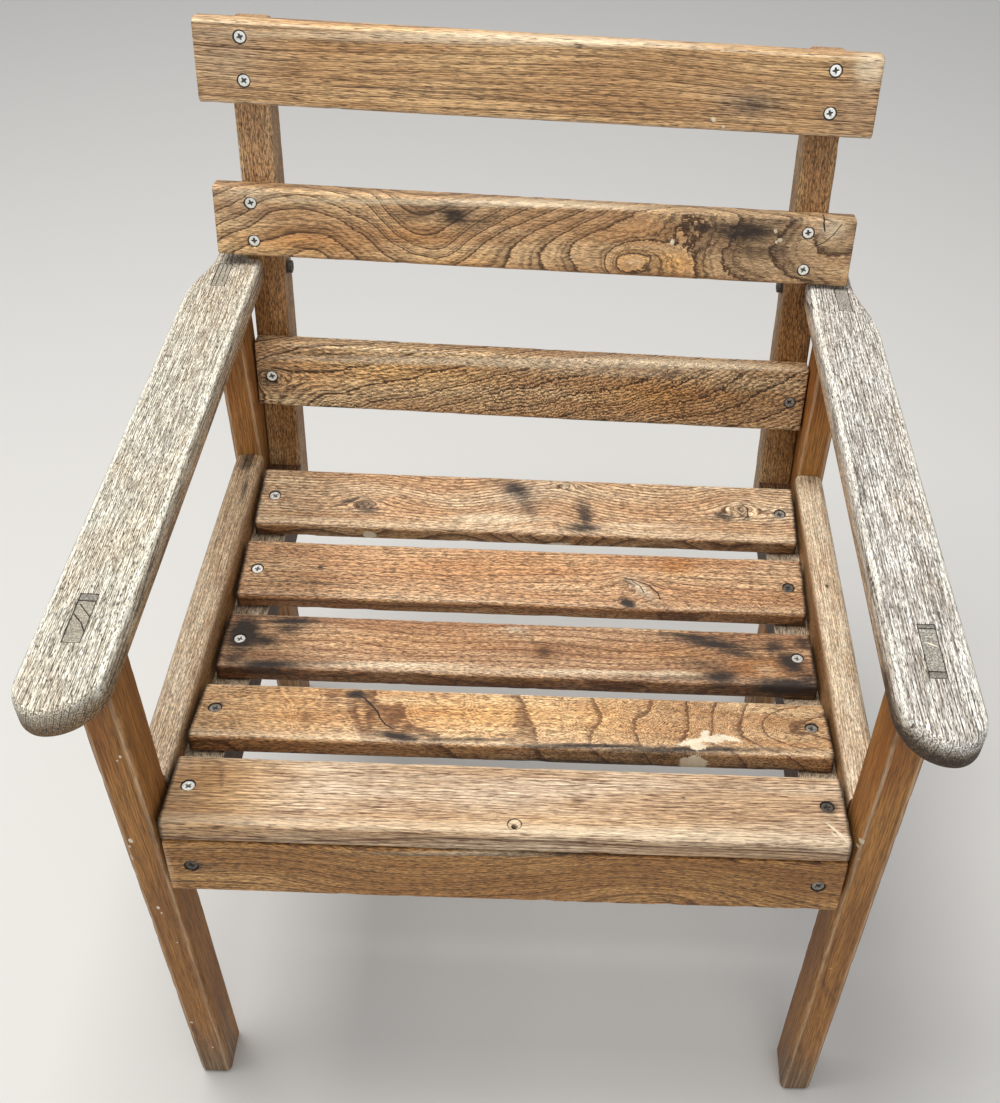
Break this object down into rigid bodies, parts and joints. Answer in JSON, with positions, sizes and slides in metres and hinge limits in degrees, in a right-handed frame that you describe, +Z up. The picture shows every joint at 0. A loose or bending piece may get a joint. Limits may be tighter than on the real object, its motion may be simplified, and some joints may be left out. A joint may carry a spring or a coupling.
{
  "type": "slatted wooden garden armchair",
  "caption": "Weathered garden carver chair with a dished slatted seat, leaning slatted back and flat bleached arms.",
  "frame": {"origin": "on the floor, under the middle of the bounding box", "axes": "+Z up, -Y towards the front of the seat, +X to the right when seen from the front"},
  "size_m": [0.6152, 0.6447, 0.7932],
  "materials": {
    "oiled_wood": "worn golden brown hardwood, grain raised by weather",
    "bleached_wood": "sun-bleached silver grey, fine dark splits along the grain",
    "grey_wood": "dusty, greyed brown",
    "end_grain_wood": "grey end grain",
    "bright_steel": "zinc plated, cross recess full of dirt",
    "dull_steel": "dulled zinc with rusty edges"
  },
  "bodies": {
    "root": {"apron_screw_left": "dull_steel", "apron_screw_right": "dull_steel", "arm_bolt_left": "dull_steel", "arm_bolt_right": "dull_steel", "arm_left": "bleached_wood", "arm_nut_left": "dull_steel", "arm_nut_right": "dull_steel", "arm_right": "bleached_wood", "arm_washer_left": "dull_steel", "arm_washer_right": "dull_steel", "arm_wedge_left_rear": "end_grain_wood", "arm_wedge_right_front": "end_grain_wood", "arm_wedge_right_rear": "end_grain_wood", "back_screw_low_left": "bright_steel", "back_screw_low_right": "bright_steel", "back_screw_middle_left_lower": "bright_steel", "back_screw_middle_left_upper": "bright_steel", "back_screw_middle_right_lower": "bright_steel", "back_screw_middle_right_upper": "bright_steel", "back_screw_top_left_lower": "bright_steel", "back_screw_top_left_upper": "bright_steel", "back_screw_top_right_lower": "bright_steel", "back_screw_top_right_upper": "bright_steel", "back_slat_low": "oiled_wood", "back_slat_middle": "oiled_wood", "back_slat_top": "oiled_wood", "back_stile_left": "oiled_wood", "back_stile_right": "oiled_wood", "bearer_screw_left": "dull_steel", "bearer_screw_right": "dull_steel", "front_apron": "oiled_wood", "front_leg_left": "oiled_wood", "front_leg_right": "oiled_wood", "leg_bolt_left": "dull_steel", "leg_bolt_right": "dull_steel", "leg_nut_left": "dull_steel", "leg_nut_right": "dull_steel", "leg_washer_left": "dull_steel", "leg_washer_right": "dull_steel", "rear_leg_left": "oiled_wood", "rear_leg_right": "oiled_wood", "seat_bearer_left": "grey_wood", "seat_bearer_right": "grey_wood", "seat_screw_1_left": "bright_steel", "seat_screw_1_right": "bright_steel", "seat_screw_2_left": "bright_steel", "seat_screw_2_right": "bright_steel", "seat_screw_3_left": "bright_steel", "seat_screw_3_right": "bright_steel", "seat_screw_4_left": "bright_steel", "seat_screw_4_right": "bright_steel", "seat_screw_5_left": "bright_steel", "seat_screw_5_right": "bright_steel", "seat_slat_1": "oiled_wood", "seat_slat_2": "oiled_wood", "seat_slat_3": "oiled_wood", "seat_slat_4": "oiled_wood", "seat_slat_5": "oiled_wood", "side_rail_left": "oiled_wood", "side_rail_right": "oiled_wood"}
  },
  "joints": []
}
